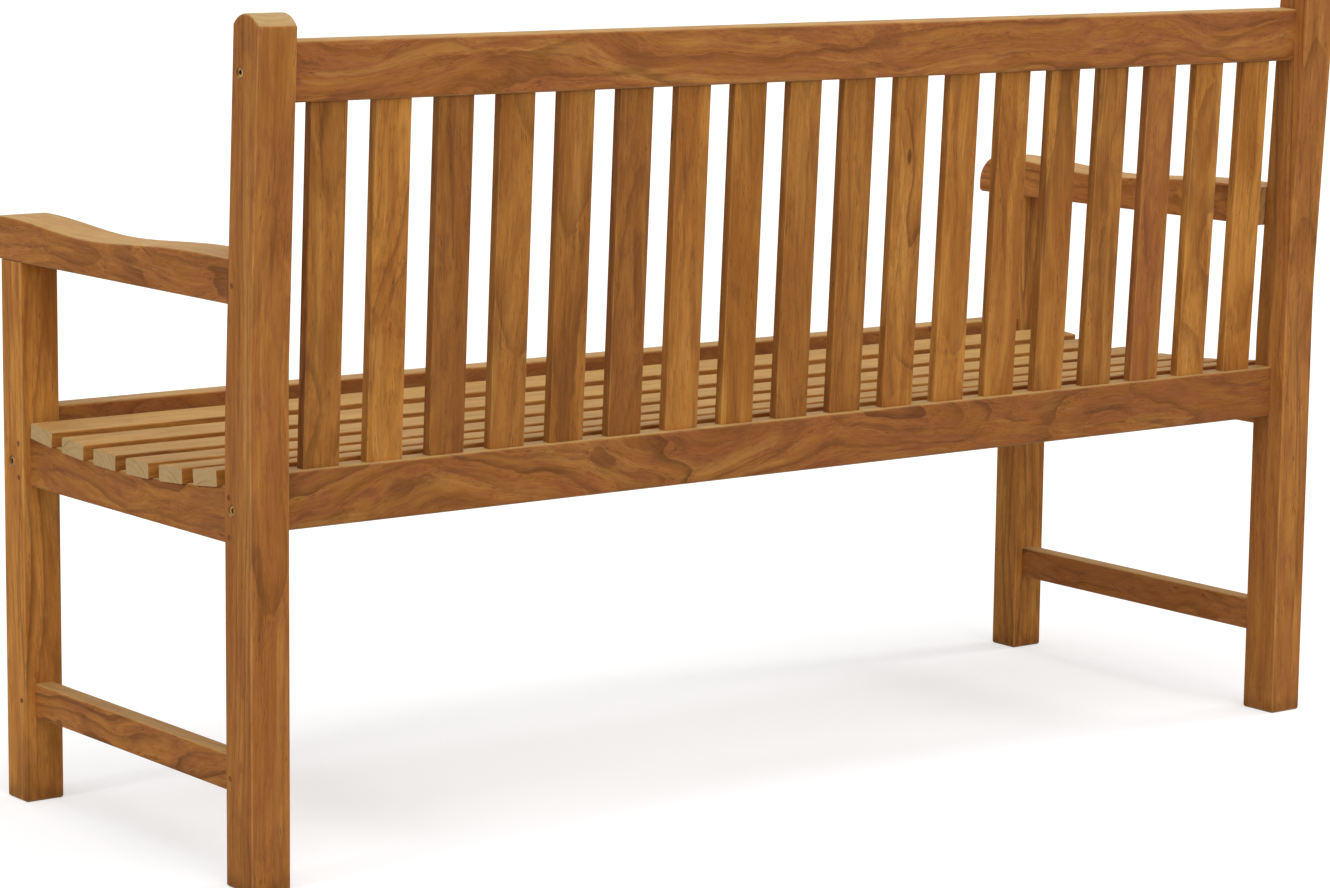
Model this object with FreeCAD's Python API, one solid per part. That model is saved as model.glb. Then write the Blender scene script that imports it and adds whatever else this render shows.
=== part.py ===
"""Slatted garden bench in teak: two pinned end frames joined by bolted long rails.

Frame: X runs along the bench (+X is the sitter's left), Y from front to back, Z up.
The origin is the centre of the footprint box, on the ground. Lengths are in millimetres.
Pieces are laid out from the front faces of the front legs and moved to that origin last.
"""
import FreeCAD
import Part
import math
import os

V = FreeCAD.Vector

# ---- overall sizes ----
BENCH_LENGTH = 1500.0          # over the outer faces of the posts
BENCH_HEIGHT = 883.5           # ground to the top of the back posts
FRAME_DEPTH = 510.0            # front leg's front face to back post's rear face, at the ground

# ---- posts and legs ----
POST_WIDTH = 46.0              # along X, back posts and front legs alike
POST_DEPTH = 50.0              # back post below its bend
POST_DEPTH_TOP = 47.0          # back post above its bend
POST_CROWN_RADIUS = 29.0       # arch over the post's top, front to rear
POST_CROWN_EASE = 4.0          # rounding where the arch meets the post's faces
LEG_DEPTH = 43.0
RAKE_ANGLE = 2.9               # degrees that the upper post leans back
RAKE_HEIGHT = 462.0            # where the post's front face starts to lean
RAKE_BLEND_RADIUS = 1100.0     # radius of the bend in the post's faces
POST_EDGE_RADIUS = 2.5
FOOT_BEVEL = 2.0

# ---- long rails ----
RAIL_THICKNESS = 27.0          # rear seat rail and top rail
RAIL_EDGE_RADIUS = 3.5
TOP_RAIL_HEIGHT = 61.0
TOP_RAIL_DROP = 28.1           # top of the post to top of the rail, along the post
TOP_RAIL_RECESS = 18.5         # behind it: rail's rear face in from the post's rear face
REAR_RAIL_HEIGHT = 60.0
REAR_RAIL_TOP = 424.0
REAR_RAIL_RECESS = 22.0
FRONT_RAIL_THICKNESS = 35.0
FRONT_RAIL_HEIGHT = 85.0
FRONT_RAIL_TOP = 435.5
FRONT_RAIL_RECESS = 1.0
FRONT_RAIL_NOSE_RADIUS = 9.0   # rounding of the front rail's upper front edge

# ---- end frames ----
SIDE_RAIL_THICKNESS = 26.0
SIDE_RAIL_RECESS = 10.0        # outer face in from the posts' outer faces
SIDE_RAIL_BOTTOM = 350.0
STRETCHER_THICKNESS = 23.0
STRETCHER_HEIGHT = 38.0
STRETCHER_RECESS = 12.0
STRETCHER_BOTTOM = 94.0
FRAME_RAIL_EDGE_RADIUS = 2.5

# ---- arms ----
ARM_WIDTH = 58.0
ARM_UNDERSIDE = 594.5
ARM_OVERHANG = 33.5            # nose in front of the front leg
ARM_FRONT_THICKNESS = 47.5     # at the top of the nose
ARM_DIP_THICKNESS = 38.5       # at the lowest point of the scooped top
ARM_REAR_THICKNESS = 46.0      # where it meets the back post
ARM_NOSE_RADIUS = 36.0
ARM_CHIN_RADIUS = 5.0
ARM_DIP_PLACE = 175.0          # lowest point, behind the leg's front face
ARM_RISE_PLACE = 345.0         # where the top is level again
ARM_EDGE_RADIUS = 3.0

# ---- seat ----
SEAT_SLATS = 6
SEAT_SLAT_WIDTH = 46.0
SEAT_SLAT_THICKNESS = 17.0
SEAT_SLAT_EDGE_RADIUS = 2.0
SEAT_LOW_HEIGHT = 412.0        # lowest line of the dished seat
SEAT_LOW_PLACE = 238.0         # that line's distance behind the leg's front face
SEAT_DISH_RADIUS = 1575.0
SEAT_FRONT_GAP = 18.5          # front rail to first slat
SEAT_REAR_GAP = 24.5           # last slat to rear rail
SEAT_OVERHANG = 5.0            # seat slats' ends past the side rails' outer faces
SEAT_SEATING_DEPTH = 0.6       # flat housing that each slat is bedded in
BEARER_WIDTH = 32.0            # support across the middle of the seat
BEARER_BOTTOM_LIFT = 3.0       # bearer's underside above the rear rail's

# ---- back ----
BACK_SLATS = 18
BACK_SLAT_WIDTH = 43.5
BACK_SLAT_THICKNESS = 12.5
BACK_SLAT_SETBACK = 5.5        # slat's rear face in from the rails' rear faces
BACK_SLAT_EDGE_RADIUS = 1.6

# ---- joints ----
JOINT_CLEARANCE = 0.1          # all round a tenon in its mortise
SLAT_TENON_LENGTH = 12.0
SLAT_TENON_SHOULDER = 3.5      # slat's edge to its tenon's edge
SLAT_TENON_THICKNESS = 8.0
STUB_TENON_LENGTH = 12.0       # long rails into the posts and legs
STUB_TENON_THICKNESS = 15.0
STUB_TENON_SHOULDER = 9.0
TENON_THICKNESS = 12.0         # end frames
TENON_SHOULDER = 7.0           # arm and stretcher
SIDE_RAIL_TENON_SHOULDER = 4.5
POST_TENON_LENGTH = 28.0
LEG_TENON_LENGTH = 21.0
ARM_TENON_WIDTH = 24.0         # front leg's tenon up into the arm
ARM_TENON_LENGTH = 20.0
BEARER_TENON_LENGTH = 10.0
BEARER_TENON_HEIGHT = 18.0

# ---- pins, dowels, bolts and nuts ----
FIT_CLEARANCE = 0.05           # radial, pins, dowels and bolts in their holes
PIN_DIAMETER = 6.0
PIN_PAST_TENON = 5.0           # pin's blind end beyond the tenon that it locks
PIN_SETBACK = 9.0              # pin's centre to the shoulder that it locks
PIN_INSET = 5.5                # pin's centre in from a side rail tenon's edges
DOWEL_DIAMETER = 8.0
DOWEL_DEPTH = 11.0             # into the slat, and as deep into what carries it
BOLT_DIAMETER = 6.0
BOLT_PAST_NUT = 2.5            # bolt's end beyond its nut
BOLT_HEAD_DIAMETER = 11.0
BOLT_HEAD_HEIGHT = 5.0
BOLT_HEAD_SINK = 1.0           # head's face below the post's face
BOLT_SOCKET = 5.0              # hexagon across its flats
BOLT_SOCKET_DEPTH = 3.0
BOLT_HOLE_DIAMETER = 6.8
BOLT_HOLE_SPARE = 8.0          # hole past the end of the bolt
COUNTERBORE_DIAMETER = 12.4
REAR_BOLT_DROP = 12.4          # below the side rail's upper pin in the back post
FRONT_BOLT_HEIGHT = 376.0
NUT_DIAMETER = 10.0
NUT_LENGTH = 18.0
NUT_SETBACK = 29.0             # nut's centre in from the rail's shoulder

# ---- sizes that follow ----
HALF_LENGTH = BENCH_LENGTH / 2
INNER_FACE = HALF_LENGTH - POST_WIDTH
POST_CENTRE = HALF_LENGTH - POST_WIDTH / 2
POST_FRONT = FRAME_DEPTH - POST_DEPTH
RAKE = math.radians(RAKE_ANGLE)
BEND = V(0, POST_FRONT, RAKE_HEIGHT)
CROWN_AXIS_RISE = BENCH_HEIGHT - RAKE_HEIGHT - POST_CROWN_RADIUS + POST_DEPTH_TOP / 2 * math.sin(RAKE)
CROWN_AXIS = RAKE_HEIGHT + CROWN_AXIS_RISE / math.cos(RAKE)
POST_STRAIGHT_TOP = CROWN_AXIS + POST_CROWN_RADIUS
REAR_FACE_TOP = POST_FRONT + POST_DEPTH_TOP
TOP_RAIL_TOP = POST_STRAIGHT_TOP - TOP_RAIL_DROP
TOP_RAIL_BOTTOM = TOP_RAIL_TOP - TOP_RAIL_HEIGHT
TOP_RAIL_REAR = REAR_FACE_TOP - TOP_RAIL_RECESS
REAR_RAIL_REAR = FRAME_DEPTH - REAR_RAIL_RECESS
REAR_RAIL_FRONT = REAR_RAIL_REAR - RAIL_THICKNESS
REAR_RAIL_BOTTOM = REAR_RAIL_TOP - REAR_RAIL_HEIGHT
FRONT_RAIL_REAR = FRONT_RAIL_RECESS + FRONT_RAIL_THICKNESS
FRONT_RAIL_BOTTOM = FRONT_RAIL_TOP - FRONT_RAIL_HEIGHT
SIDE_RAIL_OUTER = HALF_LENGTH - SIDE_RAIL_RECESS
SIDE_RAIL_CENTRE = SIDE_RAIL_OUTER - SIDE_RAIL_THICKNESS / 2
STRETCHER_OUTER = HALF_LENGTH - STRETCHER_RECESS
STRETCHER_CENTRE = STRETCHER_OUTER - STRETCHER_THICKNESS / 2
SEAT_FIRST = FRONT_RAIL_REAR + SEAT_FRONT_GAP + SEAT_SLAT_WIDTH / 2
SEAT_LAST = REAR_RAIL_FRONT - SEAT_REAR_GAP - SEAT_SLAT_WIDTH / 2
SEAT_PITCH = (SEAT_LAST - SEAT_FIRST) / (SEAT_SLATS - 1)
CARRIER_RADIUS = SEAT_DISH_RADIUS + SEAT_SLAT_THICKNESS
SEAT_AXIS = SEAT_LOW_HEIGHT + SEAT_DISH_RADIUS
BACK_SLAT_GAP = (2 * INNER_FACE - BACK_SLATS * BACK_SLAT_WIDTH) / (BACK_SLATS + 1)
BOLT_HEAD_SEAT = HALF_LENGTH - BOLT_HEAD_SINK - BOLT_HEAD_HEIGHT
BOLT_END = INNER_FACE - NUT_SETBACK - NUT_DIAMETER / 2 - BOLT_PAST_NUT
REACH = 2 * BENCH_LENGTH       # larger than the bench, for cutting planes
LAP = 1.0                      # how far a tenon or cutter runs into or past what it joins or cuts
BOLT_HEAD_CHAMFER = 0.6


def box(x0, x1, y0, y1, z0, z1):
    return Part.makeBox(x1 - x0, y1 - y0, z1 - z0, V(x0, y0, z0))


def raked(shape):
    """Leans back what is laid out along an upright post."""
    leaning = shape.copy()
    leaning.rotate(BEND, V(1, 0, 0), -RAKE_ANGLE)
    return leaning


def mirrored(shape):
    return shape.mirror(V(0, 0, 0), V(1, 0, 0))


def prism(points, x0, x1):
    """Closed outline of (y, z) points and edges in the plane x0, drawn out to x1."""
    face = Part.Face(Part.Wire(points))
    return face.extrude(V(x1 - x0, 0, 0))


def line(x, a, b):
    return Part.LineSegment(V(x, *a), V(x, *b)).toShape()


def arc(x, a, middle, b):
    return Part.Arc(V(x, *a), V(x, *middle), V(x, *b)).toShape()


def outline(x, corners):
    """Closed outline from (y, z, radius) corners, each rounded where its radius isn't 0."""
    ends = []
    for i, (y, z, radius) in enumerate(corners):
        before, after = corners[i - 1], corners[(i + 1) % len(corners)]
        back = V(0, before[0] - y, before[1] - z).normalize()
        on = V(0, after[0] - y, after[1] - z).normalize()
        corner = V(x, y, z)
        if radius == 0:
            ends.append((corner, None, corner))
            continue
        half = back.getAngle(on) / 2
        inward = (back + on).normalize()
        centre = corner + inward * (radius / math.sin(half))
        reach = radius / math.tan(half)
        ends.append((corner + back * reach, centre - inward * radius, corner + on * reach))
    edges = []
    for i, (start, middle, end) in enumerate(ends):
        if middle is not None:
            edges.append(Part.Arc(start, middle, end).toShape())
        following = ends[(i + 1) % len(ends)][0]
        edges.append(Part.LineSegment(end, following).toShape())
    return edges


def eased(shape, radius, along, shortest):
    """Rounds the straight edges that run in one direction and are at least so long."""
    chosen = []
    for edge in shape.Edges:
        if edge.Length < shortest or len(edge.Vertexes) < 2:
            continue
        run = edge.Vertexes[1].Point - edge.Vertexes[0].Point
        if abs(run.normalize().dot(along)) > math.cos(2 * RAKE + 0.01):
            chosen.append(edge)
    return shape.makeFillet(radius, chosen)


def rod(diameter, x0, x1, y, z):
    return Part.makeCylinder(diameter / 2, x1 - x0, V(x0, y, z), V(1, 0, 0))


def carrier_top(y):
    """Height of the dished line that the seat slats lie on."""
    return SEAT_AXIS - math.sqrt(CARRIER_RADIUS ** 2 - (y - SEAT_LOW_PLACE) ** 2)


def dished_bar(x0, x1, y0, y1, bottom):
    """A bar whose top is hollowed to carry the seat slats, between two places along Y."""
    middle = (y0 + y1) / 2
    edges = [line(x0, (y0, bottom), (y1, bottom)),
             line(x0, (y1, bottom), (y1, carrier_top(y1))),
             arc(x0, (y1, carrier_top(y1)), (middle, carrier_top(middle)), (y0, carrier_top(y0))),
             line(x0, (y0, carrier_top(y0)), (y0, bottom))]
    return prism(edges, x0, x1)


def seat_slat_place(index):
    """Middle of a seat slat's underside, and its tilt in degrees."""
    y = SEAT_FIRST + index * SEAT_PITCH
    tilt = math.asin((y - SEAT_LOW_PLACE) / SEAT_DISH_RADIUS)
    sunk = CARRIER_RADIUS + SEAT_SEATING_DEPTH
    middle = V(0, SEAT_LOW_PLACE + sunk * math.sin(tilt), SEAT_AXIS - sunk * math.cos(tilt))
    return middle, math.degrees(tilt)


def on_seat(shape, index):
    """Moves what is laid out about the origin onto a seat slat's underside."""
    middle, tilt = seat_slat_place(index)
    placed = shape.copy()
    placed.rotate(V(0, 0, 0), V(1, 0, 0), tilt)
    placed.translate(middle)
    return placed


def seat_slat_blank():
    half = SEAT_SLAT_WIDTH / 2
    end = SIDE_RAIL_OUTER + SEAT_OVERHANG
    return box(-end, end, -half, half, 0, SEAT_SLAT_THICKNESS)


def dowel_places():
    """X of the three carriers under each seat slat."""
    return (-SIDE_RAIL_CENTRE, 0.0, SIDE_RAIL_CENTRE)


def dowel(x, spare):
    radius = DOWEL_DIAMETER / 2 + spare
    depth = DOWEL_DEPTH + spare
    return Part.makeCylinder(radius, 2 * depth, V(x, 0, -depth))


def seat_dowels(spare, places):
    return [on_seat(dowel(x, spare), i) for i in range(SEAT_SLATS) for x in places]


def seat_slat(index):
    slat = eased(seat_slat_blank(), SEAT_SLAT_EDGE_RADIUS, V(1, 0, 0), BENCH_LENGTH / 2)
    holes = [dowel(x, FIT_CLEARANCE) for x in dowel_places()]
    return on_seat(slat.cut(holes), index)


def bedded(carrier, places):
    """Cuts the slats' flat housings and the dowel holes into what carries them."""
    carrier = carrier.cut([on_seat(seat_slat_blank(), i) for i in range(SEAT_SLATS)])
    return carrier.cut(seat_dowels(FIT_CLEARANCE, places))


# ---- bolts and their nuts: all are laid out at the +X end ----

def long_rail_bolts():
    """Each long rail's bolt: its y and z, the rail's underside, and whether it leans."""
    front = FRONT_RAIL_RECESS + FRONT_RAIL_THICKNESS / 2
    rear = REAR_RAIL_REAR - RAIL_THICKNESS / 2
    rear_height = side_rail_span(POST_FRONT)[1] - PIN_INSET - REAR_BOLT_DROP
    top = TOP_RAIL_REAR - RAIL_THICKNESS / 2
    top_height = TOP_RAIL_BOTTOM + TOP_RAIL_HEIGHT / 2
    return {"front": (front, FRONT_BOLT_HEIGHT, FRONT_RAIL_BOTTOM, False),
            "rear": (rear, rear_height, REAR_RAIL_BOTTOM, False),
            "top": (top, top_height, TOP_RAIL_BOTTOM, True)}


def at_rail(shape, name):
    return raked(shape) if long_rail_bolts()[name][3] else shape


def bolt_hole(name):
    """Counterbored hole through the post and into the rail."""
    y, z = long_rail_bolts()[name][:2]
    shank = rod(BOLT_HOLE_DIAMETER, BOLT_END - BOLT_HOLE_SPARE, HALF_LENGTH, y, z)
    head = rod(COUNTERBORE_DIAMETER, BOLT_HEAD_SEAT, HALF_LENGTH + LAP, y, z)
    return at_rail(shank.fuse(head), name)


def nut_hole(name):
    y, z, underside = long_rail_bolts()[name][:3]
    top = z + NUT_LENGTH / 2
    bore = Part.makeCylinder(NUT_DIAMETER / 2 + FIT_CLEARANCE, top - underside + LAP,
                             V(INNER_FACE - NUT_SETBACK, y, underside - LAP))
    return at_rail(bore, name)


def bolt(name):
    y, z = long_rail_bolts()[name][:2]
    shank = rod(BOLT_DIAMETER, BOLT_END, BOLT_HEAD_SEAT, y, z)
    face = BOLT_HEAD_SEAT + BOLT_HEAD_HEIGHT
    head = rod(BOLT_HEAD_DIAMETER, BOLT_HEAD_SEAT, face, y, z)
    head = head.makeChamfer(BOLT_HEAD_CHAMFER, [e for e in head.Edges if abs(e.CenterOfMass.x - face) < 0.01])
    corner = BOLT_SOCKET / 2 / math.cos(math.pi / 6)
    turns = [math.pi / 3 * i for i in range(7)]
    hexagon = [V(face - BOLT_SOCKET_DEPTH, y + corner * math.cos(a), z + corner * math.sin(a)) for a in turns]
    socket = Part.Face(Part.makePolygon(hexagon)).extrude(V(BOLT_SOCKET_DEPTH + LAP, 0, 0))
    return at_rail(shank.fuse(head).cut(socket), name)


def nut(name):
    y, z = long_rail_bolts()[name][:2]
    x = INNER_FACE - NUT_SETBACK
    body = Part.makeCylinder(NUT_DIAMETER / 2, NUT_LENGTH, V(x, y, z - NUT_LENGTH / 2))
    thread = rod(BOLT_DIAMETER + 2 * FIT_CLEARANCE, x - NUT_DIAMETER, x + NUT_DIAMETER, y, z)
    return at_rail(body.cut(thread), name)


# ---- end frame joints, at the +X end ----

def side_rail_span(shoulder):
    """Lower and upper edge of the side rail's tenon at one of its ends."""
    return SIDE_RAIL_BOTTOM + SIDE_RAIL_TENON_SHOULDER, carrier_top(shoulder) - SIDE_RAIL_TENON_SHOULDER


def tenon(x, y0, y1, z0, z1, spare=0.0):
    half = TENON_THICKNESS / 2 + spare
    return box(x - half, x + half, y0 - spare, y1 + spare, z0 - spare, z1 + spare)


def side_rail_tenons(spare=0.0):
    front = tenon(SIDE_RAIL_CENTRE, LEG_DEPTH - LEG_TENON_LENGTH, LEG_DEPTH + LAP,
                  *side_rail_span(LEG_DEPTH), spare)
    rear = tenon(SIDE_RAIL_CENTRE, POST_FRONT - LAP, POST_FRONT + POST_TENON_LENGTH,
                 *side_rail_span(POST_FRONT), spare)
    return front, rear


def stretcher_tenons(spare=0.0):
    low, high = STRETCHER_BOTTOM + TENON_SHOULDER, STRETCHER_BOTTOM + STRETCHER_HEIGHT - TENON_SHOULDER
    front = tenon(STRETCHER_CENTRE, LEG_DEPTH - LEG_TENON_LENGTH, LEG_DEPTH + LAP, low, high, spare)
    rear = tenon(STRETCHER_CENTRE, POST_FRONT - LAP, POST_FRONT + POST_TENON_LENGTH, low, high, spare)
    return front, rear


def arm_tenon(spare=0.0):
    low = ARM_UNDERSIDE + TENON_SHOULDER
    high = ARM_UNDERSIDE + ARM_REAR_THICKNESS - 2 * TENON_SHOULDER
    front = post_front_at(low) - TENON_THICKNESS
    return tenon(POST_CENTRE, front, post_front_at(high) + POST_TENON_LENGTH, low, high, spare)


def leg_tenon(spare=0.0):
    half = ARM_TENON_WIDTH / 2 + spare
    middle = LEG_DEPTH / 2
    return box(POST_CENTRE - half, POST_CENTRE + half, middle - half, middle + half,
               ARM_UNDERSIDE - LAP, ARM_UNDERSIDE + ARM_TENON_LENGTH + spare)


def post_front_at(z):
    return POST_FRONT + (z - RAKE_HEIGHT) * math.tan(RAKE)


def pin_places():
    """Each wooden pin's y and z, and the x of the tenon that it locks."""
    stretcher_middle = STRETCHER_BOTTOM + STRETCHER_HEIGHT / 2
    arm_middle = ARM_UNDERSIDE + (ARM_REAR_THICKNESS - TENON_SHOULDER) / 2
    places = [(post_front_at(arm_middle) + PIN_SETBACK, arm_middle, POST_CENTRE)]
    for shoulder, y in ((LEG_DEPTH, LEG_DEPTH - PIN_SETBACK), (POST_FRONT, POST_FRONT + PIN_SETBACK)):
        low, high = side_rail_span(shoulder)
        places += [(y, low + PIN_INSET, SIDE_RAIL_CENTRE), (y, high - PIN_INSET, SIDE_RAIL_CENTRE)]
        places.append((y, stretcher_middle, STRETCHER_CENTRE))
    return places


def pins(spare=0.0):
    beyond = TENON_THICKNESS / 2 + PIN_PAST_TENON + spare
    return [rod(PIN_DIAMETER + 2 * spare, x - beyond, HALF_LENGTH, y, z) for y, z, x in pin_places()]


# ---- long rails ----

def stub_tenon(y0, y1, z0, z1, spare=0.0):
    """Short tenon at the +X end of a long rail, centred on its thickness."""
    middle = (y0 + y1) / 2
    half = STUB_TENON_THICKNESS / 2 + spare
    end = INNER_FACE + STUB_TENON_LENGTH + spare
    low, high = z0 + STUB_TENON_SHOULDER - spare, z1 - STUB_TENON_SHOULDER + spare
    return box(INNER_FACE - LAP, end, middle - half, middle + half, low, high)


def top_rail_stub(spare=0.0):
    front = TOP_RAIL_REAR - RAIL_THICKNESS
    return raked(stub_tenon(front, TOP_RAIL_REAR, TOP_RAIL_BOTTOM, TOP_RAIL_TOP, spare))


def rear_rail_stub(spare=0.0):
    return stub_tenon(REAR_RAIL_FRONT, REAR_RAIL_REAR, REAR_RAIL_BOTTOM, REAR_RAIL_TOP, spare)


def front_rail_stub(spare=0.0):
    return stub_tenon(FRONT_RAIL_RECESS, FRONT_RAIL_REAR, FRONT_RAIL_BOTTOM, FRONT_RAIL_TOP, spare)


def both_ends(shapes):
    return list(shapes) + [mirrored(s) for s in shapes]


def bearer_tenons(spare=0.0):
    low = REAR_RAIL_BOTTOM + BEARER_BOTTOM_LIFT - spare
    high = low + BEARER_TENON_HEIGHT + 2 * spare
    half = BEARER_WIDTH / 4 + spare
    return box(-half, half, FRONT_RAIL_REAR - BEARER_TENON_LENGTH - spare,
               REAR_RAIL_FRONT + BEARER_TENON_LENGTH + spare, low, high)


def long_rail(y0, y1, z0, z1, stub, name):
    rail = box(-INNER_FACE, INNER_FACE, y0, y1, z0, z1)
    rail = eased(rail, RAIL_EDGE_RADIUS, V(1, 0, 0), INNER_FACE)
    rail = at_rail(rail, name).fuse(both_ends([stub]))
    return rail.cut(both_ends([bolt_hole(name), nut_hole(name)]))


def top_rail():
    rail = long_rail(TOP_RAIL_REAR - RAIL_THICKNESS, TOP_RAIL_REAR, TOP_RAIL_BOTTOM, TOP_RAIL_TOP,
                     top_rail_stub(), "top")
    return rail.cut([back_slat_tenon(i, JOINT_CLEARANCE) for i in range(BACK_SLATS)])


def rear_seat_rail():
    rail = long_rail(REAR_RAIL_FRONT, REAR_RAIL_REAR, REAR_RAIL_BOTTOM, REAR_RAIL_TOP,
                     rear_rail_stub(), "rear")
    rail = rail.cut([back_slat_tenon(i, JOINT_CLEARANCE) for i in range(BACK_SLATS)])
    return rail.cut(bearer_tenons(JOINT_CLEARANCE))


def front_seat_rail():
    corners = [(FRONT_RAIL_RECESS, FRONT_RAIL_BOTTOM, RAIL_EDGE_RADIUS),
               (FRONT_RAIL_REAR, FRONT_RAIL_BOTTOM, RAIL_EDGE_RADIUS),
               (FRONT_RAIL_REAR, FRONT_RAIL_TOP, RAIL_EDGE_RADIUS),
               (FRONT_RAIL_RECESS, FRONT_RAIL_TOP, FRONT_RAIL_NOSE_RADIUS)]
    rail = prism(outline(-INNER_FACE, corners), -INNER_FACE, INNER_FACE)
    rail = rail.fuse(both_ends([front_rail_stub()]))
    rail = rail.cut(both_ends([bolt_hole("front"), nut_hole("front")]))
    return rail.cut(bearer_tenons(JOINT_CLEARANCE))


# ---- back slats ----

def back_slat_line():
    """Where the slats' centre plane meets the two rails, as lower and upper point."""
    inset = BACK_SLAT_SETBACK + BACK_SLAT_THICKNESS / 2
    low = V(0, REAR_RAIL_REAR - inset, REAR_RAIL_TOP)
    high = Part.Vertex(V(0, TOP_RAIL_REAR - inset, TOP_RAIL_BOTTOM))
    return low, raked(high).Point


def along_slat(index, half_width, half_thickness, beyond):
    """A bar in a slat's place that runs past both rails' faces by a given length."""
    low, high = back_slat_line()
    run = high - low
    middle = -INNER_FACE + BACK_SLAT_GAP + BACK_SLAT_WIDTH / 2 + index * (BACK_SLAT_WIDTH + BACK_SLAT_GAP)
    bar = box(-half_width, half_width, -half_thickness, half_thickness, -beyond, run.Length + beyond)
    bar.rotate(V(0, 0, 0), V(1, 0, 0), -math.degrees(math.atan2(run.y, run.z)))
    bar.translate(low + V(middle, 0, 0))
    return bar


def back_slat_tenon(index, spare=0.0):
    half_width = BACK_SLAT_WIDTH / 2 - SLAT_TENON_SHOULDER + spare
    return along_slat(index, half_width, SLAT_TENON_THICKNESS / 2 + spare, SLAT_TENON_LENGTH + spare)


def back_slat(index):
    bar = along_slat(index, BACK_SLAT_WIDTH / 2, BACK_SLAT_THICKNESS / 2, SLAT_TENON_LENGTH)
    bar = eased(bar, BACK_SLAT_EDGE_RADIUS, V(0, 0, 1), REAR_RAIL_HEIGHT)
    below = box(-REACH, REACH, -REACH, REACH, -REACH, REAR_RAIL_TOP)
    above = raked(box(-REACH, REACH, -REACH, REACH, TOP_RAIL_BOTTOM, REACH))
    return bar.cut([below, above]).fuse(back_slat_tenon(index)).removeSplitter()


# ---- pieces of the end frames, at the +X end ----

def back_post():
    lean = math.tan(RAKE)
    top = POST_STRAIGHT_TOP
    upright = [V(0, POST_FRONT, top), V(0, REAR_FACE_TOP, top), V(0, REAR_FACE_TOP, RAKE_HEIGHT)]
    front_top, rear_top, rear_low = [raked(Part.Vertex(v)).Point for v in upright]
    rear_bend = rear_low.z + (FRAME_DEPTH - rear_low.y) / lean
    corners = [(POST_FRONT, 0, 0),
               (FRAME_DEPTH, 0, 0),
               (FRAME_DEPTH, rear_bend, RAKE_BLEND_RADIUS),
               (rear_top.y, rear_top.z, 0),
               (front_top.y, front_top.z, 0),
               (POST_FRONT, RAKE_HEIGHT, RAKE_BLEND_RADIUS)]
    post = crowned(prism(outline(INNER_FACE, corners), INNER_FACE, HALF_LENGTH))
    post = bevelled_foot(eased_outline(post, POST_EDGE_RADIUS))
    cutters = [top_rail_stub(JOINT_CLEARANCE), rear_rail_stub(JOINT_CLEARANCE), arm_tenon(JOINT_CLEARANCE),
               side_rail_tenons(JOINT_CLEARANCE)[1], stretcher_tenons(JOINT_CLEARANCE)[1],
               bolt_hole("top"), bolt_hole("rear")]
    return post.cut(cutters).cut(pins(FIT_CLEARANCE))


def crowned(post):
    """Arches the post's top, front to rear."""
    middle = POST_FRONT + POST_DEPTH_TOP / 2
    waste = box(INNER_FACE - LAP, HALF_LENGTH + LAP, POST_FRONT - LAP, REAR_FACE_TOP + LAP,
                CROWN_AXIS, POST_STRAIGHT_TOP + LAP)
    arch = rod(2 * POST_CROWN_RADIUS, INNER_FACE - 2 * LAP, HALF_LENGTH + 2 * LAP, middle, CROWN_AXIS)
    post = post.cut(raked(waste.cut(arch)))
    across = [e for e in post.Edges if e.BoundBox.XLength > POST_WIDTH / 2 and e.BoundBox.ZMin > CROWN_AXIS]
    return post.makeFillet(POST_CROWN_EASE, across)


def eased_outline(shape, radius):
    """Rounds every edge of the two flat ends of a prism, apart from those on the ground."""
    chosen = []
    for edge in shape.Edges:
        xs = [v.X for v in edge.Vertexes]
        if max(xs) - min(xs) < 0.01 and edge.BoundBox.ZMax > 1:
            chosen.append(edge)
    return shape.makeFillet(radius, chosen)


def bevelled_foot(leg):
    """Bevels the edges that the leg stands on."""
    ground = [edge for edge in leg.Edges if edge.BoundBox.ZMax < 0.01]
    return leg.makeChamfer(FOOT_BEVEL, ground)


def front_leg():
    leg = box(INNER_FACE, HALF_LENGTH, 0, LEG_DEPTH, 0, ARM_UNDERSIDE)
    leg = bevelled_foot(eased(leg, POST_EDGE_RADIUS, V(0, 0, 1), ARM_UNDERSIDE / 2))
    leg = leg.fuse(leg_tenon())
    cutters = [front_rail_stub(JOINT_CLEARANCE), side_rail_tenons(JOINT_CLEARANCE)[0],
               stretcher_tenons(JOINT_CLEARANCE)[0], bolt_hole("front")]
    return leg.cut(cutters).cut(pins(FIT_CLEARANCE))


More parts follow.
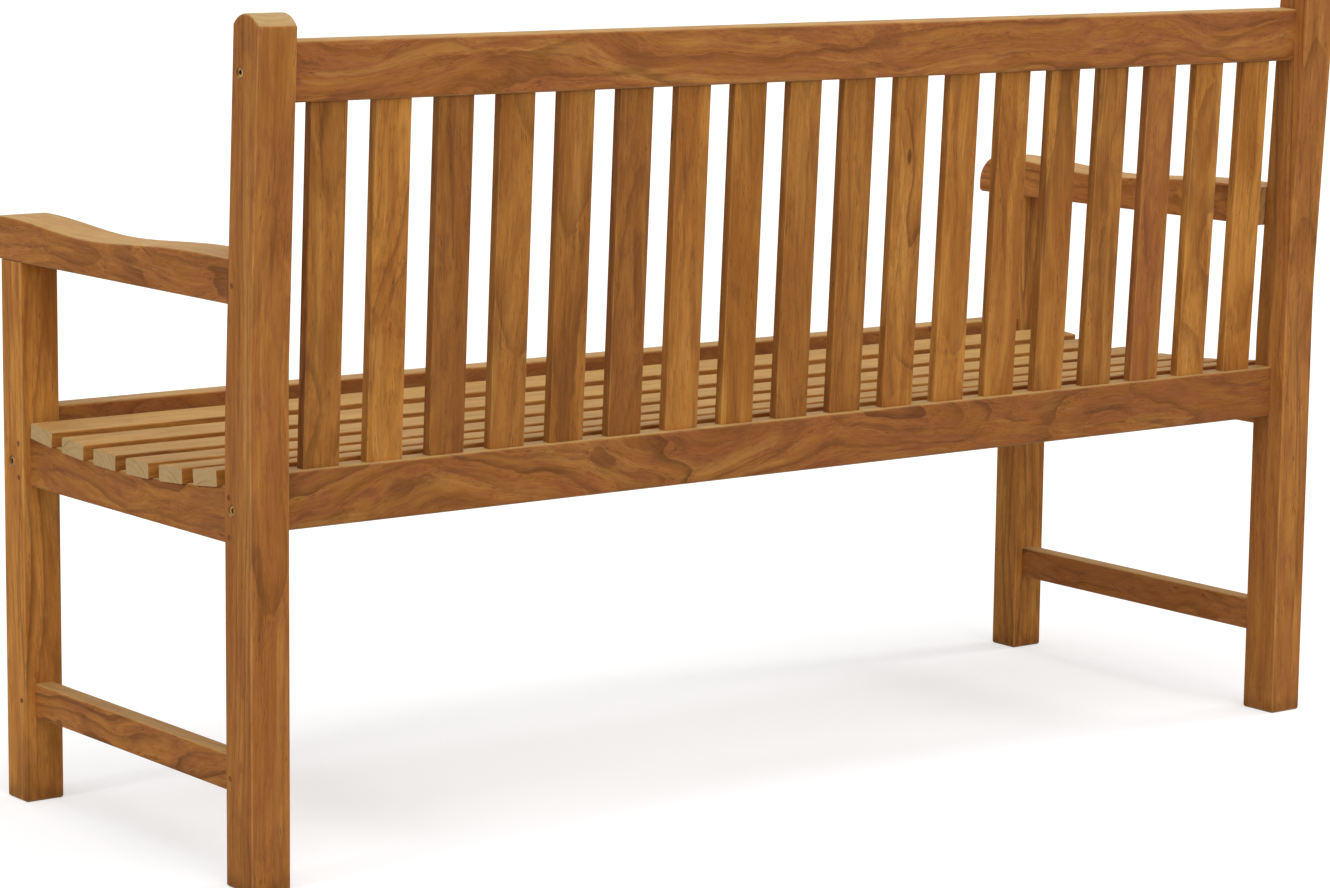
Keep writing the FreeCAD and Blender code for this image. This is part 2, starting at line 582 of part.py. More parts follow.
def arm():
    """Flat underneath, scooped on top, with a quarter-round nose."""
    x0, x1 = HALF_LENGTH - ARM_WIDTH, HALF_LENGTH
    nose, low = -ARM_OVERHANG, ARM_UNDERSIDE
    top = low + ARM_FRONT_THICKNESS
    shoulder = V(x0, nose + ARM_NOSE_RADIUS, top)
    rear_place = post_front_at(top) + POST_DEPTH
    crest = low + ARM_REAR_THICKNESS
    scoop = Part.BSplineCurve()
    dip = V(x0, ARM_DIP_PLACE, low + ARM_DIP_THICKNESS)
    scoop.interpolate(Points=[shoulder, dip, V(x0, ARM_RISE_PLACE, crest), V(x0, rear_place, crest)],
                      InitialTangent=V(0, 1, 0), FinalTangent=V(0, 1, 0))
    slant = math.sqrt(0.5)
    nose_middle = (nose + ARM_NOSE_RADIUS * (1 - slant), top - ARM_NOSE_RADIUS * (1 - slant))
    chin_middle = (nose + ARM_CHIN_RADIUS * (1 - slant), low + ARM_CHIN_RADIUS * (1 - slant))
    edges = [arc(x0, (nose + ARM_CHIN_RADIUS, low), chin_middle, (nose, low + ARM_CHIN_RADIUS)),
             line(x0, (nose, low + ARM_CHIN_RADIUS), (nose, top - ARM_NOSE_RADIUS)),
             arc(x0, (nose, top - ARM_NOSE_RADIUS), nose_middle, (shoulder.y, top)),
             scoop.toShape(),
             line(x0, (rear_place, crest), (rear_place, low)),
             line(x0, (rear_place, low), (nose + ARM_CHIN_RADIUS, low))]
    piece = eased_outline(prism(edges, x0, x1), ARM_EDGE_RADIUS)
    behind = raked(box(-REACH, REACH, POST_FRONT, REACH, -REACH, REACH))
    piece = piece.cut(behind).fuse(arm_tenon())
    return piece.cut([leg_tenon(JOINT_CLEARANCE)] + pins(FIT_CLEARANCE))


def side_rail():
    inner = SIDE_RAIL_OUTER - SIDE_RAIL_THICKNESS
    rail = dished_bar(inner, SIDE_RAIL_OUTER, LEG_DEPTH, POST_FRONT, SIDE_RAIL_BOTTOM)
    rail = eased(rail, FRAME_RAIL_EDGE_RADIUS, V(0, 1, 0), POST_FRONT / 2)
    rail = bedded(rail, (SIDE_RAIL_CENTRE,)).fuse(list(side_rail_tenons()))
    return rail.cut([bolt_hole("rear"), bolt_hole("front")] + pins(FIT_CLEARANCE))


def side_stretcher():
    bar = box(STRETCHER_OUTER - STRETCHER_THICKNESS, STRETCHER_OUTER, LEG_DEPTH, POST_FRONT,
              STRETCHER_BOTTOM, STRETCHER_BOTTOM + STRETCHER_HEIGHT)
    bar = eased(bar, FRAME_RAIL_EDGE_RADIUS, V(0, 1, 0), POST_FRONT / 2)
    return bar.fuse(list(stretcher_tenons())).cut(pins(FIT_CLEARANCE))


def centre_bearer():
    half = BEARER_WIDTH / 2
    bar = dished_bar(-half, half, FRONT_RAIL_REAR, REAR_RAIL_FRONT, REAR_RAIL_BOTTOM + BEARER_BOTTOM_LIFT)
    return bedded(bar.fuse(bearer_tenons()), (0.0,))


# ---- the whole bench ----

def bench():
    """Every node's shape, laid out from the front legs' front faces."""
    nodes = {}
    for name, maker in (("back_post", back_post), ("front_leg", front_leg), ("arm", arm),
                        ("side_rail", side_rail), ("side_stretcher", side_stretcher)):
        shape = maker()
        nodes[name + "_left"] = shape
        nodes[name + "_right"] = mirrored(shape)
    nodes["top_rail"] = top_rail()
    nodes["rear_seat_rail"] = rear_seat_rail()
    nodes["front_seat_rail"] = front_seat_rail()
    nodes["centre_bearer"] = centre_bearer()
    for i in range(BACK_SLATS):
        nodes["back_slat_%02d" % (i + 1)] = back_slat(i)
    for i in range(SEAT_SLATS):
        nodes["seat_slat_%d" % (i + 1)] = seat_slat(i)
    nodes["frame_bolts"] = Part.makeCompound(both_ends([bolt(n) for n in long_rail_bolts()]))
    nodes["barrel_nuts"] = Part.makeCompound(both_ends([nut(n) for n in long_rail_bolts()]))
    nodes["joint_pins"] = Part.makeCompound(both_ends(pins()))
    nodes["seat_dowels"] = Part.makeCompound(seat_dowels(0.0, dowel_places()))
    return nodes


def footprint_centre():
    """Half way between the arms' noses and the rearmost line of the posts' tops."""
    ease_place = POST_DEPTH_TOP - POST_CROWN_EASE
    inset = POST_DEPTH_TOP / 2 - POST_CROWN_EASE
    ease_rise = math.sqrt((POST_CROWN_RADIUS - POST_CROWN_EASE) ** 2 - inset ** 2)
    along_post = CROWN_AXIS + ease_rise - RAKE_HEIGHT
    rear = POST_FRONT + ease_place * math.cos(RAKE) + along_post * math.sin(RAKE) + POST_CROWN_EASE
    return (rear - ARM_OVERHANG) / 2


os.makedirs("parts", exist_ok=True)
for name, shape in bench().items():
    shape.translate(V(0, -footprint_centre(), 0))
    if not shape.isValid():
        print("not valid:", name)
    shape.exportStep("parts/" + name + ".step")
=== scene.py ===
"""Looks of the slatted teak garden bench: timber, brass and the studio around it."""
import math
import random

import bpy
from mathutils import Matrix, Vector

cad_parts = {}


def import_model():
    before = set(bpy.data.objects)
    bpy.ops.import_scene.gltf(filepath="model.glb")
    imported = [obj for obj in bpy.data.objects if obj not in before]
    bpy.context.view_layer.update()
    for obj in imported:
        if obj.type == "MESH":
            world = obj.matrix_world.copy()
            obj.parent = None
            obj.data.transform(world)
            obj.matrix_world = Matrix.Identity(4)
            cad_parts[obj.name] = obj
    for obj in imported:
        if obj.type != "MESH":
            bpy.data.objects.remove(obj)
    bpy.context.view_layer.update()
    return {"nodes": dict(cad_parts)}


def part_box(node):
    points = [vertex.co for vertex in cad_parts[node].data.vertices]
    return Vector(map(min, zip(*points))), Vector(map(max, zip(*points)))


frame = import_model()

# ---- camera, in the row frame, metres and radians ----
CAMERA_PLACE = Vector((2.838, 3.6565, 1.098))
CAMERA_YAW = 0.6545            # turned from straight at the bench's back towards -X
CAMERA_PITCH = 0.1583          # below the horizon
CAMERA_ROLL = -0.0118
CAMERA_LENS = 110.1            # millimetres on a 36 mm wide sensor
SENSOR_WIDTH = 36.0

# ---- teak, as linear colours ----
HONEY = (0.440, 0.190, 0.036)  # early wood, the lighter ground
AMBER = (0.300, 0.108, 0.017)
UMBER = (0.100, 0.030, 0.007)  # late wood lines and mineral streaks
ROSE = (0.330, 0.112, 0.036)   # redder heartwood
STRAW = (0.560, 0.290, 0.075)  # pale streaks
PAINTED_SHEEN = (0.570, 0.375, 0.140)   # painted sheen: the paleness that top light and the reflection of the white surroundings give upward faces and rounded edges
PALE_END = (0.470, 0.335, 0.165)   # sawn ends
PORE_DARK = (0.070, 0.024, 0.008)

# ---- metals, as linear colours ----
BRASS_BRIGHT = (0.66, 0.40, 0.14)
BRASS_DULL = (0.20, 0.11, 0.035)
ZINC_DARK = (0.42, 0.43, 0.44)
ZINC_LIGHT = (0.62, 0.63, 0.64)

# ---- how timber looks, in metres where it is a length ----
FIGURE_SEED = 1000
PLAIN_SPECULAR = 0.12          # unfinished wood barely shines
TEAK_BUMP = 0.35
TEAK_BUMP_HEIGHT = 0.0006
END_FACING = (0.52, 0.74)      # how squarely a face looks along the grain, from side grain to end grain
UP_FACING = (0.55, 0.90)       # how squarely a face looks up, from plain to painted sheen
EDGE_FACING = (0.985, 0.80)    # the largest part of a face's direction, from flat face to rounded edge
DAMP_RISE = 0.14               # how far water climbs from the ground
DAMP_LINE = (0.020, 0.004)     # the darkest band, at the very foot


def shade(colour, alpha=1.0):
    return (*colour, alpha)


class Tree:
    """Adds nodes and links to one node tree, with sockets named in words."""

    def __init__(self, tree):
        self.tree = tree

    def node(self, kind, inputs=None, **settings):
        made = self.tree.nodes.new(kind)
        for key, value in settings.items():
            setattr(made, key, value)
        for key, value in (inputs or {}).items():
            self.put(made.inputs[key], value)
        return made

    def put(self, socket, value):
        if isinstance(value, bpy.types.NodeSocket):
            self.tree.links.new(value, socket)
        else:
            socket.default_value = value

    def math(self, operation, a, b=0.0, c=0.0, clamp=False):
        made = self.tree.nodes.new("ShaderNodeMath")
        made.operation = operation
        made.use_clamp = clamp
        for socket, value in zip(made.inputs, (a, b, c)):
            self.put(socket, value)
        return made.outputs[0]

    def vector(self, operation, a, b=(0, 0, 0)):
        made = self.tree.nodes.new("ShaderNodeVectorMath")
        made.operation = operation
        self.put(made.inputs[0], a)
        if operation == "SCALE":
            self.put(made.inputs["Scale"], b)
        else:
            self.put(made.inputs[1], b)
        return made.outputs["Value" if operation in ("LENGTH", "DOT_PRODUCT") else "Vector"]

    def noise(self, place, scales, detail=3.0, roughness=0.55, distortion=0.0):
        """Noise whose grains are 1 / scales metres long in X, Y and Z."""
        stretched = self.vector("MULTIPLY", place, scales)
        made = self.node("ShaderNodeTexNoise", {"Vector": stretched, "Scale": 1.0, "Detail": detail,
                                                "Roughness": roughness, "Distortion": distortion})
        return made.outputs["Fac"]

    def swing(self, place, scales, reach, detail, roughness):
        """A noise vector about zero, about reach long."""
        stretched = self.vector("MULTIPLY", place, scales)
        made = self.node("ShaderNodeTexNoise", {"Vector": stretched, "Scale": 1.0, "Detail": detail,
                                                "Roughness": roughness})
        return self.vector("SCALE", self.vector("SUBTRACT", made.outputs["Color"], (0.5, 0.5, 0.5)), reach)

    def step(self, value, low, high, to_low=0.0, to_high=1.0):
        """A smooth step from to_low to to_high, as the value goes from low to high."""
        made = self.node("ShaderNodeMapRange", {"Value": value, "From Min": low, "From Max": high,
                                                "To Min": to_low, "To Max": to_high},
                         interpolation_type="SMOOTHSTEP")
        return made.outputs["Result"]

    def mix(self, factor, a, b, blend="MIX"):
        made = self.tree.nodes.new("ShaderNodeMix")
        made.data_type = "RGBA"
        made.blend_type = blend
        self.put(made.inputs[0], factor)
        self.put(made.inputs[6], a if isinstance(a, bpy.types.NodeSocket) else shade(a))
        self.put(made.inputs[7], b if isinstance(b, bpy.types.NodeSocket) else shade(b))
        return made.outputs[2]


def blank_material(name):
    """A new material with nothing in it, and the builder of its node tree."""
    material = bpy.data.materials.new(name)
    material.use_nodes = True
    t = Tree(material.node_tree)
    t.tree.nodes.clear()
    return material, t


def teak_figure():
    """Node group: teak's colour, roughness and height, from a place whose X runs along the grain."""
    group = bpy.data.node_groups.new("teak_figure", "ShaderNodeTree")
    face = group.interface
    for name in ("Place", "Offset", "Pith", "Run Out"):
        face.new_socket(name, in_out="INPUT", socket_type="NodeSocketVector")
    for name in ("Ring Spacing", "Wander", "Curl", "Contrast", "Rose", "Depth", "End", "Edge", "Up", "Damp"):
        face.new_socket(name, in_out="INPUT", socket_type="NodeSocketFloat")
    face.new_socket("Colour", in_out="OUTPUT", socket_type="NodeSocketColor")
    face.new_socket("Roughness", in_out="OUTPUT", socket_type="NodeSocketFloat")
    face.new_socket("Height", in_out="OUTPUT", socket_type="NodeSocketFloat")
    t = Tree(group)
    given = t.node("NodeGroupInput").outputs
    place = t.vector("ADD", given["Place"], given["Offset"])

    # pin knots, few and small, that the grain flows round
    knot_place = t.vector("MULTIPLY", place, (7.0, 20.0, 20.0))
    cell = t.node("ShaderNodeTexVoronoi", {"Vector": knot_place, "Scale": 1.0})
    rare = t.step(t.node("ShaderNodeSeparateColor", {"Color": cell.outputs["Color"]}).outputs[0], 0.84, 0.86)
    knot = t.math("MULTIPLY", t.step(cell.outputs["Distance"], 0.085, 0.035), rare)
    swirl = t.math("MULTIPLY", t.step(cell.outputs["Distance"], 0.60, 0.0), rare)

    # growth rings: distance from a wandering, slanting pith line
    slant = t.vector("MULTIPLY", t.node("ShaderNodeSeparateXYZ", {"Vector": given["Place"]}).outputs[0],
                     given["Run Out"])
    drift = t.swing(place, (2.6, 7.0, 7.0), given["Wander"], 1.5, 0.45)
    curl = t.swing(place, (11.0, 22.0, 22.0), given["Curl"], 2.0, 0.5)
    ripple = t.swing(place, (45.0, 110.0, 110.0), 0.0022, 2.0, 0.5)
    across = t.vector("ADD", t.vector("ADD", given["Place"], given["Pith"]), slant)
    across = t.vector("ADD", t.vector("ADD", across, drift), t.vector("ADD", curl, ripple))
    radius = t.vector("LENGTH", t.vector("MULTIPLY", across, (0.0, 1.0, 1.0)))
    radius = t.math("ADD", radius, t.math("MULTIPLY", swirl, 0.012))
    turns = t.math("DIVIDE", radius, given["Ring Spacing"])
    phase = t.math("FRACT", turns)
    late = t.math("MULTIPLY", t.step(phase, 0.42, 0.94), t.step(phase, 1.0, 0.94))
    ring_place = t.math("MULTIPLY", turns, 0.61)
    ring_noise = t.node("ShaderNodeTexNoise", {"W": ring_place, "Scale": 1.0, "Detail": 2.0},
                        noise_dimensions="1D").outputs["Fac"]
    late = t.math("MULTIPLY", late, t.step(ring_noise, 0.36, 0.62, 0.22, 1.0))
    late = t.math("MULTIPLY", late, t.step(t.noise(place, (3.5, 26.0, 26.0), 2.0), 0.36, 0.60, 0.35, 1.0))

    # fibres, pores, streaks and broad colour patches that follow the rings
    bend = t.vector("ADD", t.vector("ADD", drift, curl), slant)
    flow = t.vector("ADD", place, t.vector("SCALE", bend, 0.8))
    fibre = t.noise(flow, (9.0, 330.0, 330.0), 4.0, 0.68)
    thread = t.noise(flow, (24.0, 1200.0, 1200.0), 2.0, 0.6)
    pore = t.step(t.noise(flow, (80.0, 1000.0, 1000.0), 1.0, 0.5), 0.58, 0.68)
    pore = t.math("MULTIPLY", pore, t.step(phase, 0.0, 0.5, 1.0, 0.3))
    patch = t.noise(flow, (4.0, 26.0, 26.0), 4.0, 0.62, 0.7)
    flame = t.noise(t.vector("ADD", flow, (3.0, 8.0, 2.0)), (13.0, 42.0, 42.0), 3.0, 0.6, 1.2)
    streak = t.step(t.noise(flow, (2.4, 90.0, 90.0), 3.0, 0.62, 0.4), 0.55, 0.70)
    blond = t.noise(t.vector("ADD", flow, (7.0, 3.0, 5.0)), (2.0, 60.0, 60.0), 3.0, 0.55, 0.3)
    blond = t.step(blond, 0.55, 0.72)

    colour = t.mix(t.step(patch, 0.36, 0.62), HONEY, AMBER)
    rosy = t.math("MULTIPLY", given["Rose"], t.step(flame, 0.36, 0.62, 0.35, 1.0))
    colour = t.mix(rosy, colour, ROSE)
    colour = t.mix(t.step(flame, 0.50, 0.74, 0.0, 0.30), colour, UMBER)
    colour = t.mix(t.math("MULTIPLY", blond, 0.38), colour, STRAW)
    colour = t.mix(t.math("MULTIPLY", late, given["Contrast"]), colour, UMBER)
    colour = t.mix(t.math("MULTIPLY", streak, 0.42), colour, UMBER)
    colour = t.mix(t.step(fibre, 0.36, 0.70, 0.0, 0.27), colour, UMBER)
    colour = t.mix(t.step(thread, 0.30, 0.60, 0.10, 0.0), colour, STRAW)
    colour = t.mix(t.math("MULTIPLY", pore, 0.50), colour, PORE_DARK)
    colour = t.mix(t.math("MULTIPLY", knot, 0.80), colour, PORE_DARK)
    colour = t.mix(1.0, colour, t.mix(given["Depth"], (1.30, 1.30, 1.30), (0.78, 0.74, 0.68)), "MULTIPLY")

    # upward faces are painted paler: a painted sheen standing in for the top light and the reflection of the
    # white surroundings
    top_sheen = t.math("MULTIPLY", given["Up"], t.step(flame, 0.3, 0.7, 0.62, 0.42))
    colour = t.mix(top_sheen, colour, PAINTED_SHEEN)

    # sawn ends are paler and greyer, with the rings and open pores showing
    end_colour = t.mix(t.math("MULTIPLY", late, 0.4), PALE_END, AMBER)
    speckle = t.step(t.noise(place, (900.0, 900.0, 900.0), 2.0, 0.6), 0.52, 0.68)
    end_colour = t.mix(t.math("MULTIPLY", speckle, 0.25), end_colour, UMBER)
    colour = t.mix(t.math("MULTIPLY", given["End"], 0.8), colour, end_colour)

    # feet are darker, where they draw up water, and so are pegs, all over
    soaked = t.step(t.noise(place, (30.0, 60.0, 60.0), 3.0), 0.30, 0.62, 0.25, 1.0)
    wet = t.math("MULTIPLY", given["Damp"], soaked)
    colour = t.mix(wet, colour, t.mix(0.6, colour, UMBER))

    # painted highlight along rounded edges, in patches, lighter than the faces
    highlight_patches = t.step(t.noise(place, (14.0, 60.0, 60.0), 3.0), 0.35, 0.65, 0.15, 0.7)
    edge_highlight = t.math("MULTIPLY", given["Edge"], highlight_patches)
    colour = t.mix(edge_highlight, colour, t.mix(0.35, colour, PAINTED_SHEEN))

    rough = t.step(fibre, 0.3, 0.7, 0.55, 0.70)
    rough = t.math("ADD", rough, t.math("MULTIPLY", pore, 0.12))
    rough = t.math("ADD", rough, t.math("MULTIPLY", given["End"], 0.18), clamp=True)
    height = t.math("ADD", t.math("MULTIPLY", fibre, 0.45), t.math("MULTIPLY", late, 0.25))
    height = t.math("SUBTRACT", height, t.math("MULTIPLY", pore, 0.75))
    height = t.math("SUBTRACT", height, t.math("MULTIPLY", t.math("MULTIPLY", speckle, given["End"]), 0.5))
    t.node("NodeGroupOutput", {"Colour": colour, "Roughness": rough, "Height": height})


GRAIN_TURNS = {  # turns the row frame so that the grain runs along X
    "x": (0.0, 0.0, 0.0),
    "y": (0.0, 0.0, math.radians(-90)),
    "z": (0.0, math.radians(90), 0.0),
}
SLAT_LEAN = math.radians(2.6)   # of the back slats, from upright
GRAIN_AXES = {"x": (1, 0, 0), "y": (0, 1, 0), "z": (0, 0, 1)}


def teak(name, grain, centre, draw, pith, spacing=0.008, wander=0.05, curl=0.008, contrast=0.5,
         run_out=(0.0, 0.0), rose=0.3, depth=0.4, lean=0.0, sawn=1.0, foot=False, stain=0.0):
    """Teak for one piece.

    grain is the axis it runs along, and pith how far the pith line lies from the piece's centre, in
    the two directions across the grain. spacing is between rings, wander and curl are how far they
    stray, slowly and quickly, and run_out is how they slant. sawn is how plainly the ends show end
    grain, foot whether the piece stands on the ground, and stain how dark it is all over.
    """
    material, t = blank_material("teak_" + name)
    coordinate = t.node("ShaderNodeTexCoord")
    centred = t.vector("SUBTRACT", coordinate.outputs["Object"], tuple(centre))
    if lean:
        upright = t.node("ShaderNodeVectorRotate", {"Vector": centred, "Angle": lean}, rotation_type="X_AXIS")
        centred = upright.outputs[0]
    along = t.node("ShaderNodeMapping", {"Vector": centred, "Rotation": GRAIN_TURNS[grain]}).outputs[0]
    normal = coordinate.outputs["Normal"]
    facing = t.math("ABSOLUTE", t.vector("DOT_PRODUCT", normal, GRAIN_AXES[grain]))
    end = t.step(facing, *END_FACING)
    # upward and flattest carry the painted sheen on upward faces and the painted highlight on rounded edges
    upward = t.node("ShaderNodeSeparateXYZ", {"Vector": normal}).outputs[2]
    parts = t.node("ShaderNodeSeparateXYZ", {"Vector": t.vector("ABSOLUTE", normal)}).outputs
    flattest = t.math("MAXIMUM", t.math("MAXIMUM", parts[0], parts[1]), parts[2])
    edge = t.step(flattest, *EDGE_FACING)
    damp = stain
    if foot:
        height = t.node("ShaderNodeSeparateXYZ", {"Vector": coordinate.outputs["Object"]}).outputs[2]
        damp = t.math("ADD", t.step(height, DAMP_RISE, 0.0, 0.0, 0.35), t.step(height, *DAMP_LINE, 0.0, 0.55))
    figure = t.node("ShaderNodeGroup", node_tree=bpy.data.node_groups["teak_figure"])
    offset = tuple(draw.uniform(-20, 20) for _ in range(3))
    settings = {"Place": along, "Offset": offset, "Pith": (0.0, *pith), "Run Out": (0.0, *run_out),
                "Ring Spacing": spacing, "Wander": wander, "Curl": curl, "Contrast": contrast, "Rose": rose,
                "Depth": depth, "End": t.math("MULTIPLY", end, sawn), "Edge": edge,
                "Up": t.step(upward, *UP_FACING), "Damp": damp}
    for key, value in settings.items():
        t.put(figure.inputs[key], value)
    bump = t.node("ShaderNodeBump", {"Strength": TEAK_BUMP, "Distance": TEAK_BUMP_HEIGHT,
                                     "Height": figure.outputs["Height"]})
    surface = t.node("ShaderNodeBsdfPrincipled", {"Base Color": figure.outputs["Colour"],
                                                  "Roughness": figure.outputs["Roughness"],
                                                  "Normal": bump.outputs["Normal"],
                                                  "Specular IOR Level": PLAIN_SPECULAR, "IOR": 1.45})
    t.node("ShaderNodeOutputMaterial", {"Surface": surface.outputs[0]})
    return material


def brass():
    material, t = blank_material("bolt_brass")
    place = t.node("ShaderNodeTexCoord").outputs["Object"]
    dull = t.noise(place, (180.0, 180.0, 180.0), 3.0)
    fine = t.noise(place, (2600.0, 2600.0, 2600.0), 2.0)
    colour = t.mix(t.step(dull, 0.35, 0.7), BRASS_BRIGHT, BRASS_DULL)
    bump = t.node("ShaderNodeBump", {"Strength": 0.2, "Distance": 0.0002, "Height": fine})
    surface = t.node("ShaderNodeBsdfPrincipled", {"Base Color": colour, "Metallic": 1.0,
                                                  "Roughness": t.step(dull, 0.3, 0.7, 0.28, 0.5),
                                                  "Normal": bump.outputs["Normal"]})
    t.node("ShaderNodeOutputMaterial", {"Surface": surface.outputs[0]})
    return material


def zinc():
    material, t = blank_material("nut_zinc")
    place = t.node("ShaderNodeTexCoord").outputs["Object"]
    spangle = t.noise(place, (400.0, 400.0, 400.0), 3.0)
    colour = t.mix(spangle, ZINC_DARK, ZINC_LIGHT)
    surface = t.node("ShaderNodeBsdfPrincipled", {"Base Color": colour, "Metallic": 1.0,
                                                  "Roughness": t.step(spangle, 0.3, 0.7, 0.3, 0.5)})
    t.node("ShaderNodeOutputMaterial", {"Surface": surface.outputs[0]})
    return material


def dress(node, material):
    piece = frame["nodes"][node]
    piece.data.materials.clear()
    piece.data.materials.append(material)
    for polygon in piece.data.polygons:
        polygon.material_index = 0


# Each back slat's tone, from the sitter's right to the sitter's left
SLAT_TONES = ("blond", "pale", "rosy", "amber", "golden", "golden", "pale", "golden", "amber",
              "amber", "olive", "golden", "umber", "amber", "amber", "umber", "pale", "amber")
# How rosy and how deep each tone is
TONES = {"golden": (0.15, 0.34), "pale": (0.10, 0.12), "blond": (0.05, 0.0), "rosy": (0.85, 0.40),
         "amber": (0.25, 0.62), "olive": (0.0, 0.45), "umber": (0.60, 0.85)}
BACK_POST_TONE = (0.55, 0.48)
# the front legs are the palest: partly their paler sapwood, partly painted light that lifts their rear faces
# out of the shade under the seat
FRONT_LEG_TONE = (0.10, 0.0)
REAR_RAIL_DEPTH = 0.78
LONG_RAIL_DEPTH = 0.48
RIGHT_END_DEPTH = 0.24         # the far end frame's members are paler: partly their own timber, partly painted light that lifts their inward faces out of the shade under the bench
END_FRAME_DEPTH = 0.50

# How each kind of member is cut
UPRIGHT_CUT = {"wander": 0.035, "curl": 0.006, "contrast": 0.65, "foot": True}
END_FRAME_CUT = {"spacing": 0.013, "wander": 0.13, "curl": 0.022, "contrast": 0.75, "rose": 0.75, "sawn": 0.4}
LONG_RAIL_CUT = {"spacing": 0.014, "wander": 0.18, "curl": 0.024, "contrast": 0.8, "rose": 0.95}
PEG_CUT = {"spacing": 0.002, "rose": 0.5, "depth": 1.0, "sawn": 0.0, "stain": 1.0}


def board_looks():
    """Each wooden node's grain direction and its own cut of timber."""
    for index, name in enumerate(sorted(frame["nodes"])):
        draw = random.Random(FIGURE_SEED + index)
        low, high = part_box(name)
        centre = (low + high) / 2
        side, behind = draw.uniform(-0.04, 0.04), draw.uniform(0.02, 0.07)
        slope = draw.choice((-1, 1)) * draw.uniform(0.02, 0.06)
        if name.startswith("back_slat"):
            rose, depth = TONES[SLAT_TONES[int(name[-2:]) - 1]]
            dress(name, teak(name, "z", centre, draw, (behind, side), spacing=draw.uniform(0.006, 0.012),
                             curl=draw.uniform(0.004, 0.014), contrast=draw.uniform(0.4, 0.75),
                             run_out=(slope, 0.0), rose=rose, depth=depth, lean=SLAT_LEAN))
        elif name.startswith(("back_post", "front_leg")):
            rose, depth = BACK_POST_TONE if name.startswith("back_post") else FRONT_LEG_TONE
            dress(name, teak(name, "z", centre, draw, (behind, side), run_out=(slope / 2, slope / 3),
                             rose=rose, depth=depth, **UPRIGHT_CUT))
        elif name.startswith(("arm", "side_rail", "side_stretcher", "centre_bearer")):
            depth = RIGHT_END_DEPTH if name.endswith("right") else END_FRAME_DEPTH
            dress(name, teak(name, "y", centre, draw, (behind, side), run_out=(slope, slope / 2),
                             depth=depth, **END_FRAME_CUT))
        elif name.startswith("seat_slat"):
            dress(name, teak(name, "x", centre, draw, (side, behind), rose=0.1, depth=draw.uniform(0.1, 0.4)))
        elif name.endswith("_rail"):
            depth = REAR_RAIL_DEPTH if name.startswith("rear") else LONG_RAIL_DEPTH
            dress(name, teak(name, "x", centre, draw, (behind, side), run_out=(slope, slope / 3),
                             depth=depth, **LONG_RAIL_CUT))
        elif name in ("joint_pins", "seat_dowels"):
            grain = "x" if name == "joint_pins" else "z"
            dress(name, teak(name, grain, centre, draw, (side, behind), **PEG_CUT))


teak_figure()
board_looks()
dress("frame_bolts", brass())
dress("barrel_nuts", zinc())

# ---- studio ----
FLOOR_HALF = 60.0
FLOOR_COLOUR = (0.62, 0.62, 0.62)
FLOOR_LIFT = 0.45              # seen by the camera alone, so that the open floor comes out white
AMBIENT = 0.38
BACKDROP = 1.0                 # pure white, where a ray meets nothing

# Each lamp's azimuth from +X and its elevation, its strength, and how wide it looks; angles in degrees
LAMPS = {
    "lamp_left": (6.0, 22.0, 0.80, 12.0),
    "lamp_right": (172.0, 22.0, 1.00, 12.0),
    "lamp_front": (-92.0, 26.0, 0.45, 12.0),
    "lamp_back": (83.0, 26.0, 0.35, 14.0),
    "lamp_behind": (75.0, 30.0, 0.80, 60.0),
    "lamp_above": (60.0, 80.0, 1.05, 60.0),
}


def floor():
    mesh = bpy.data.meshes.new("floor")
    h = FLOOR_HALF
    mesh.from_pydata([(-h, -h, 0), (h, -h, 0), (h, h, 0), (-h, h, 0)], [], [(0, 1, 2, 3)])
    piece = bpy.data.objects.new("floor", mesh)
    bpy.context.scene.collection.objects.link(piece)
    material, t = blank_material("floor_paper")
    paper = t.node("ShaderNodeBsdfDiffuse", {"Color": shade(FLOOR_COLOUR)})
    seen = t.math("MULTIPLY", t.node("ShaderNodeLightPath").outputs["Is Camera Ray"], FLOOR_LIFT)
    lift = t.node("ShaderNodeEmission", {"Color": (1, 1, 1, 1), "Strength": seen})
    both = t.node("ShaderNodeAddShader", {0: paper.outputs[0], 1: lift.outputs[0]})
    t.node("ShaderNodeOutputMaterial", {"Surface": both.outputs[0]})
    mesh.materials.append(material)


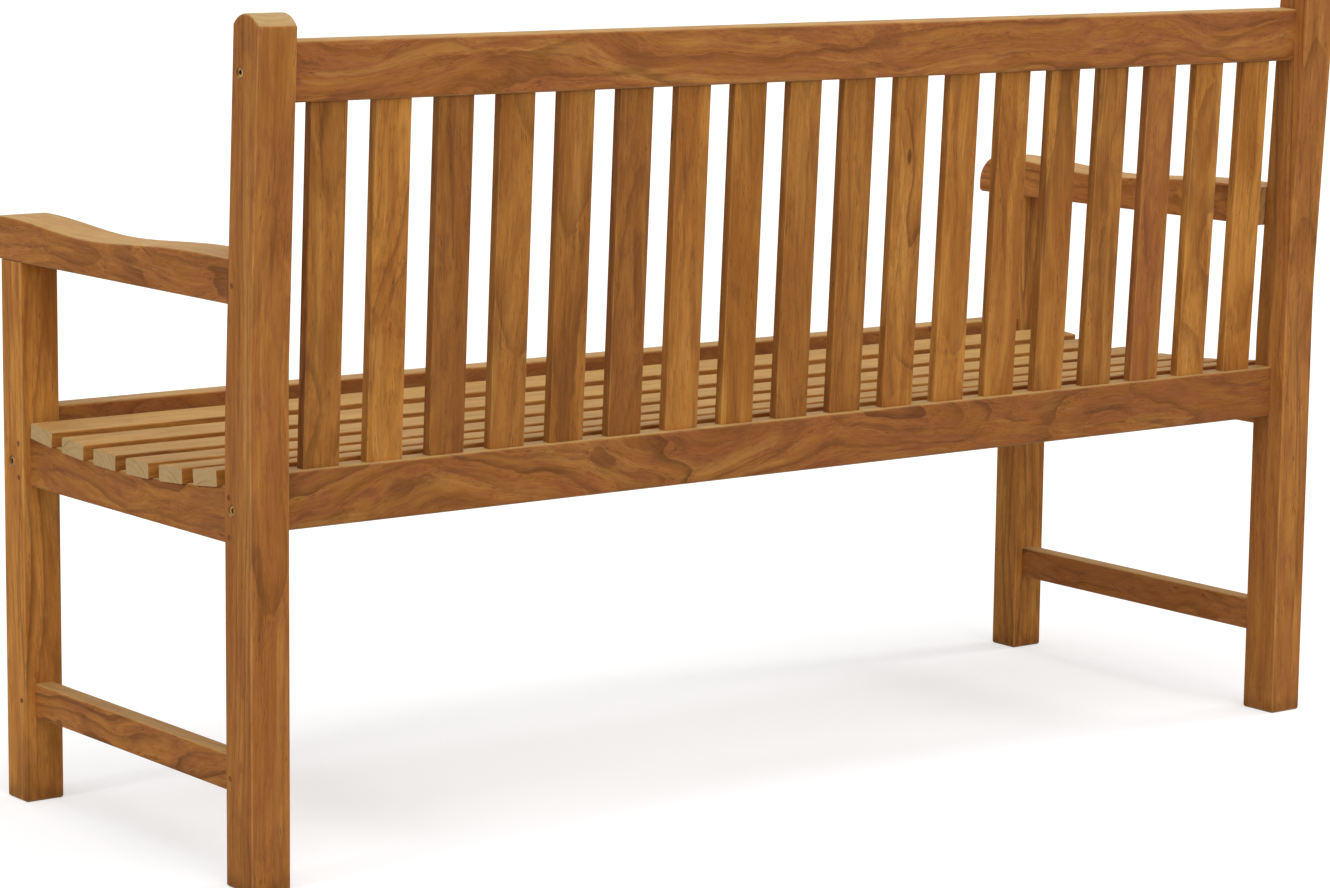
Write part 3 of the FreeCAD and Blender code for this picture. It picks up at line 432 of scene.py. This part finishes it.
def sun(name, azimuth, elevation, strength, angle):
    """A soft lamp far off, with its angles in degrees."""
    lamp = bpy.data.lights.new(name, "SUN")
    lamp.energy = strength
    lamp.angle = math.radians(angle)
    piece = bpy.data.objects.new(name, lamp)
    bpy.context.scene.collection.objects.link(piece)
    a, e = math.radians(azimuth), math.radians(elevation)
    towards = Vector((math.cos(a) * math.cos(e), math.sin(a) * math.cos(e), math.sin(e)))
    piece.rotation_mode = "QUATERNION"
    piece.rotation_quaternion = towards.to_track_quat("Z", "Y")


def world():
    """Even light all round, white where it is seen."""
    made = bpy.data.worlds.new("studio")
    bpy.context.scene.world = made
    made.use_nodes = True
    t = Tree(made.node_tree)
    t.tree.nodes.clear()
    path = t.node("ShaderNodeLightPath").outputs
    seen = t.math("MAXIMUM", path["Is Camera Ray"], path["Is Glossy Ray"])
    seen = t.math("MAXIMUM", seen, path["Is Transmission Ray"])
    ambient = t.node("ShaderNodeBackground", {"Color": (1, 1, 1, 1), "Strength": AMBIENT})
    white = t.node("ShaderNodeBackground", {"Color": (1, 1, 1, 1), "Strength": BACKDROP})
    mixed = t.node("ShaderNodeMixShader", {0: seen, 1: ambient.outputs[0], 2: white.outputs[0]})
    t.node("ShaderNodeOutputWorld", {"Surface": mixed.outputs[0]})


def camera():
    """Behind the bench, off its left end, a little above its back."""
    lens = bpy.data.cameras.new("camera")
    lens.sensor_width = SENSOR_WIDTH
    lens.lens = CAMERA_LENS
    lens.clip_end = 200.0
    piece = bpy.data.objects.new("camera", lens)
    bpy.context.scene.collection.objects.link(piece)
    forward = Vector((-math.sin(CAMERA_YAW) * math.cos(CAMERA_PITCH),
                      -math.cos(CAMERA_YAW) * math.cos(CAMERA_PITCH), -math.sin(CAMERA_PITCH)))
    right = forward.cross(Vector((0, 0, 1))).normalized()
    up = right.cross(forward)
    turned = Matrix.Rotation(CAMERA_ROLL, 3, forward)
    right, up = turned @ right, turned @ up
    piece.matrix_world = Matrix((right, up, -forward)).transposed().to_4x4()
    piece.location = CAMERA_PLACE
    bpy.context.scene.camera = piece


floor()
world()
for lamp_name, light in LAMPS.items():
    sun(lamp_name, *light)
camera()
bpy.context.scene.view_settings.view_transform = "Standard"
